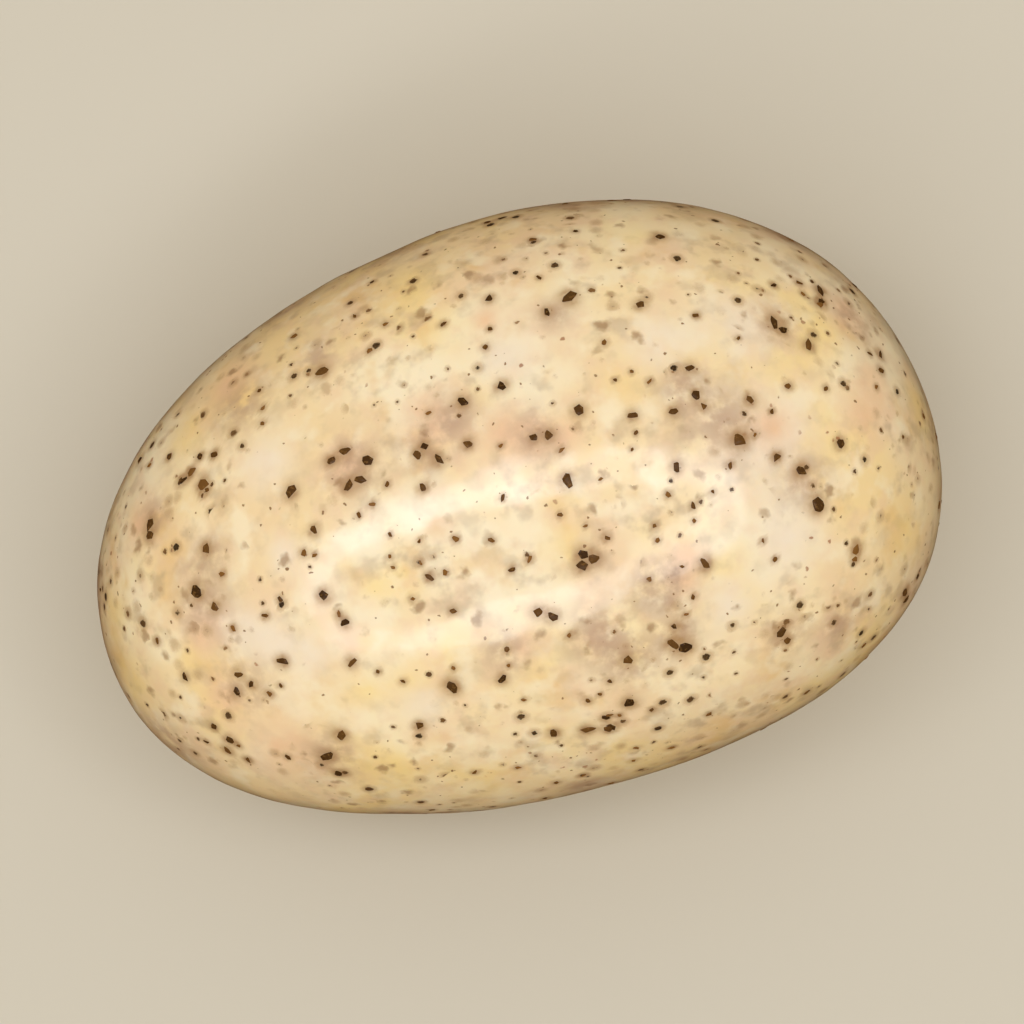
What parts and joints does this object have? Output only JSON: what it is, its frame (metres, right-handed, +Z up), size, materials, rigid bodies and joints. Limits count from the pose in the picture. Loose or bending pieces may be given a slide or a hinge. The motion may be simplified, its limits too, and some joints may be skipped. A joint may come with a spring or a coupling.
{
  "type": "white chocolate coffee almond",
  "caption": "Smooth egg-shaped sweet, slightly blunter at one end, in a glossy cream coating speckled with ground coffee; lies on a small flat spot. To be eaten whole.",
  "frame": {"origin": "middle of the underside, at the centre of the outer box seen from above", "axes": "+X along the long axis towards the blunter end, +Z up through the thin direction"},
  "size_m": [0.0264, 0.0178, 0.0154],
  "materials": {
    "speckled_coating": "polished sugar glaze over cream-coloured white chocolate, with dark and brown specks of ground coffee set in it",
    "coffee_grounds": "coarse dark roast coffee grounds set flush in the glaze"
  },
  "bodies": {
    "root": {"coated_almond": "speckled_coating"}
  },
  "joints": []
}
